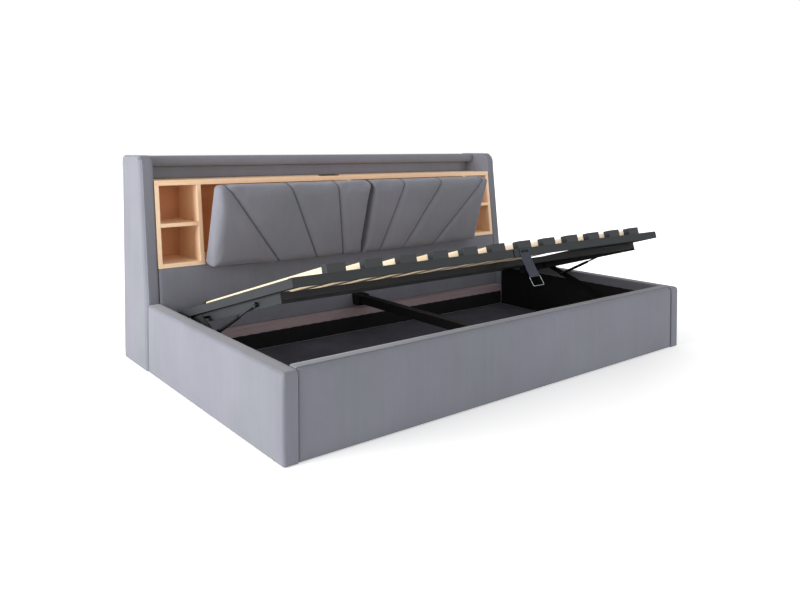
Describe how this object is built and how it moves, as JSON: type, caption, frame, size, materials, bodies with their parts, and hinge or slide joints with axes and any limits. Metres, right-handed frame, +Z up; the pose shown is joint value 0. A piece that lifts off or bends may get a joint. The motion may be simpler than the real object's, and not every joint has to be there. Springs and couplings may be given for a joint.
{
  "type": "storage bed",
  "caption": "Upholstered low bed with a lift-up slatted platform over a storage box and a storage headboard with cubbies, an open shelf and padded drop-front flaps",
  "frame": {"origin": "middle of the footprint, on the floor", "axes": "+X along the headboard towards the right wing as seen from the open front, +Y from the footboard towards the headboard, +Z up"},
  "size_m": [2.12, 1.4525, 0.905],
  "materials": {
    "velvet": "soft lavender-grey velour",
    "shaded_velvet": "grey velour",
    "beech": "clear satin",
    "slat_wood": "sanded beech ply",
    "raw_board": "raw board",
    "lining": "dark non-woven lining",
    "platform_steel": "satin powder coat",
    "black_steel": "black powder coat",
    "bright_steel": "zinc plated",
    "black_plastic": "matt moulded",
    "grey_plastic": "matt moulded",
    "webbing": "woven webbing"
  },
  "bodies": {
    "base": {"side_rail_left": "velvet", "wing_left": "velvet", "glide_front_left": "black_plastic", "glide_rear_left": "black_plastic", "cubby_left": "beech", "cubby_divider_left": "beech", "flap_hinge_left": "bright_steel", "lift_plate_left": "black_steel", "side_rail_right": "velvet", "wing_right": "velvet", "glide_front_right": "black_plastic", "glide_rear_right": "black_plastic", "cubby_right": "beech", "cubby_divider_right": "beech", "flap_hinge_right": "bright_steel", "lift_plate_right": "black_steel", "footboard": "velvet", "storage_floor": "lining", "back_ledge": "raw_board", "centre_beam": "black_steel", "beam_bracket": "black_steel", "back_panel": "velvet", "header_rail": "velvet", "recess_panel": "shaded_velvet", "lower_panel": "velvet", "shelf_board": "beech", "socket_module": "black_plastic", "carcass_back": "beech", "compartment_board": "beech", "compartment_partition": "beech"},
    "platform": {"platform_frame": "platform_steel", "lift_beam_left": "platform_steel", "lift_beam_right": "platform_steel", "crossbar": "black_steel", "slat_holders_front": "grey_plastic", "slat_holders_rear": "grey_plastic", "slat_01": "slat_wood", "slat_02": "slat_wood", "slat_03": "slat_wood", "slat_04": "slat_wood", "slat_05": "slat_wood", "slat_06": "slat_wood", "slat_07": "slat_wood", "slat_08": "slat_wood", "slat_09": "slat_wood", "slat_10": "slat_wood", "slat_11": "slat_wood", "slat_12": "slat_wood", "pull_strap": "webbing", "strap_ring": "bright_steel"},
    "left_flap": {"flap_board_left": "beech", "flap_cushion_left": "velvet"},
    "left_arm": {"lift_arm_left": "black_steel"},
    "left_strut_rod": {"strut_rod_left": "bright_steel"},
    "left_strut_cylinder": {"strut_cylinder_left": "black_steel"},
    "right_flap": {"flap_board_right": "beech", "flap_cushion_right": "velvet"},
    "right_arm": {"lift_arm_right": "black_steel"},
    "right_strut_rod": {"strut_rod_right": "bright_steel"},
    "right_strut_cylinder": {"strut_cylinder_right": "black_steel"}
  },
  "joints": [
    {"name": "lift", "type": "hinge", "parent": "base", "child": "left_arm", "pos_m": [-0.9941, -0.3095, 0.118], "axis": [1, 0, 0], "range_deg": [-14.2, 17.1]},
    {"name": "platform_tilt", "type": "hinge", "parent": "left_arm", "child": "platform", "pos_m": [-0.9605, 0.01135, 0.29718], "axis": [1, 0, 0], "range_deg": [-36.78, 30.55], "deforming": ["pull_strap", "strap_ring"]},
    {"name": "right_arm_turn", "type": "hinge", "parent": "base", "child": "right_arm", "pos_m": [0.9941, -0.3095, 0.118], "axis": [1, 0, 0], "range_deg": [-14.2, 17.1]},
    {"name": "left_strut_swing", "type": "hinge", "parent": "platform", "child": "left_strut_rod", "pos_m": [-0.971, -0.38505, 0.4131], "axis": [1, 0, 0], "range_deg": [-6.89, 5.73]},
    {"name": "left_strut_slide", "type": "slide", "parent": "left_strut_rod", "child": "left_strut_cylinder", "axis": [0, 0.8897, -0.4565], "range_m": [-0.0451, 0.0542]},
    {"name": "right_strut_swing", "type": "hinge", "parent": "platform", "child": "right_strut_rod", "pos_m": [0.971, -0.38505, 0.4131], "axis": [1, 0, 0], "range_deg": [-6.89, 5.73]},
    {"name": "right_strut_slide", "type": "slide", "parent": "right_strut_rod", "child": "right_strut_cylinder", "axis": [0, 0.8897, -0.4565], "range_m": [-0.0451, 0.0542]},
    {"name": "left_flap_tilt", "type": "hinge", "parent": "base", "child": "left_flap", "pos_m": [-0.3977, 0.43392, 0.417], "axis": [1, 0, 0], "range_deg": [-22.67, 20]},
    {"name": "right_flap_tilt", "type": "hinge", "parent": "base", "child": "right_flap", "pos_m": [0.3977, 0.43392, 0.417], "axis": [1, 0, 0], "range_deg": [-22.67, 20]}
  ],
  "couplings": [
    {"joint": "platform_tilt", "follows": "lift", "ratio": -2.1479},
    {"joint": "right_arm_turn", "follows": "lift", "ratio": 1},
    {"joint": "left_strut_swing", "follows": "lift", "ratio": -0.4},
    {"joint": "left_strut_slide", "follows": "lift", "m_per_rad": 0.18},
    {"joint": "right_strut_swing", "follows": "lift", "ratio": -0.4},
    {"joint": "right_strut_slide", "follows": "lift", "m_per_rad": 0.18}
  ]
}
